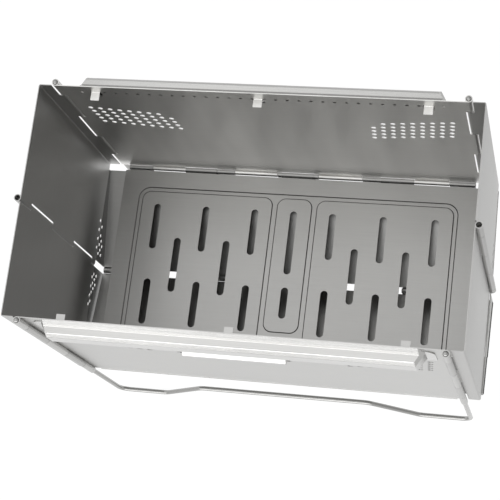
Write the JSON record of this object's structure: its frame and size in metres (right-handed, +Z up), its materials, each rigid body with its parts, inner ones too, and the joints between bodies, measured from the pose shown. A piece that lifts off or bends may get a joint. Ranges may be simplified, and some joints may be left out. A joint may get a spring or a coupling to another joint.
{
  "type": "flatpack grill",
  "caption": "Folding charcoal grill: hinged sheet-steel firebox with side vents, slotted lifting floor, V-shaped heat shield below and bent wire legs that double as corner hinge pins.",
  "frame": {"origin": "centre of the footprint, on the ground under the feet", "axes": "+X along the long walls, +Y to the back wall that carries the floor hinge, +Z up"},
  "size_m": [0.3602, 0.2108, 0.2826],
  "materials": {
    "sheet": "brushed stainless",
    "wire": "drawn stainless wire",
    "pin": "plain steel"
  },
  "bodies": {
    "back": {"back_wall": "sheet", "back_rail": "sheet", "back_leg": "wire", "back_hinge_pin": "pin"},
    "left_back": {"left_back_panel": "sheet", "left_side_pin": "pin"},
    "left_front": {"left_front_panel": "sheet"},
    "front": {"front_wall": "sheet", "front_rail": "sheet", "front_strap": "sheet", "front_leg": "wire"},
    "right_back": {"right_back_panel": "sheet", "right_side_pin": "pin"},
    "right_front": {"right_front_panel": "sheet"},
    "floor": {"floor_tray": "sheet", "floor_tongues": "sheet"},
    "shield_rear_half": {"shield_back": "sheet", "shield_fold_pin_left": "pin", "shield_fold_pin_middle": "pin", "shield_fold_pin_right": "pin"},
    "shield_front_half": {"shield_front": "sheet", "shield_front_pin": "pin", "front_shield_loops": "sheet"}
  },
  "joints": [
    {"name": "box_fold", "type": "hinge", "parent": "back", "child": "left_back", "pos_m": [-0.1618, 0.0962, 0.186], "axis": [0, 0, 1], "range_deg": [0, 90]},
    {"name": "left_middle_hinge", "type": "hinge", "parent": "left_back", "child": "left_front", "pos_m": [-0.1772, 0, 0.186], "axis": [0, 0, 1], "range_deg": [-180, 0]},
    {"name": "front_corner_hinge", "type": "hinge", "parent": "left_front", "child": "front", "pos_m": [-0.1618, -0.0962, 0.186], "axis": [0, 0, 1], "range_deg": [0, 90]},
    {"name": "right_corner_hinge", "type": "hinge", "parent": "back", "child": "right_back", "pos_m": [0.1618, 0.0962, 0.186], "axis": [0, 0, 1], "range_deg": [-90, 0]},
    {"name": "right_middle_hinge", "type": "hinge", "parent": "right_back", "child": "right_front", "pos_m": [0.1772, 0, 0.186], "axis": [0, 0, 1], "range_deg": [0, 180]},
    {"name": "shield_rear_hinge", "type": "hinge", "parent": "back", "child": "shield_rear_half", "pos_m": [0, 0.0919, 0.0891], "axis": [1, 0, 0], "range_deg": [0, 75]},
    {"name": "shield_fold_hinge", "type": "hinge", "parent": "shield_rear_half", "child": "shield_front_half", "pos_m": [0, -0.0002, 0.067], "axis": [1, 0, 0], "range_deg": [-142, 0]},
    {"name": "floor_lift", "type": "hinge", "parent": "back", "child": "floor", "pos_m": [0, 0.0919, 0.0891], "axis": [-1, 0, 0], "range_deg": [0, 90]}
  ],
  "couplings": [
    {"joint": "left_middle_hinge", "follows": "box_fold", "ratio": -2},
    {"joint": "front_corner_hinge", "follows": "box_fold", "ratio": 1},
    {"joint": "right_corner_hinge", "follows": "box_fold", "ratio": -1},
    {"joint": "right_middle_hinge", "follows": "box_fold", "ratio": 2},
    {"joint": "shield_rear_hinge", "follows": "box_fold", "ratio": 0.8325},
    {"joint": "shield_fold_hinge", "follows": "box_fold", "ratio": -1.5683}
  ]
}
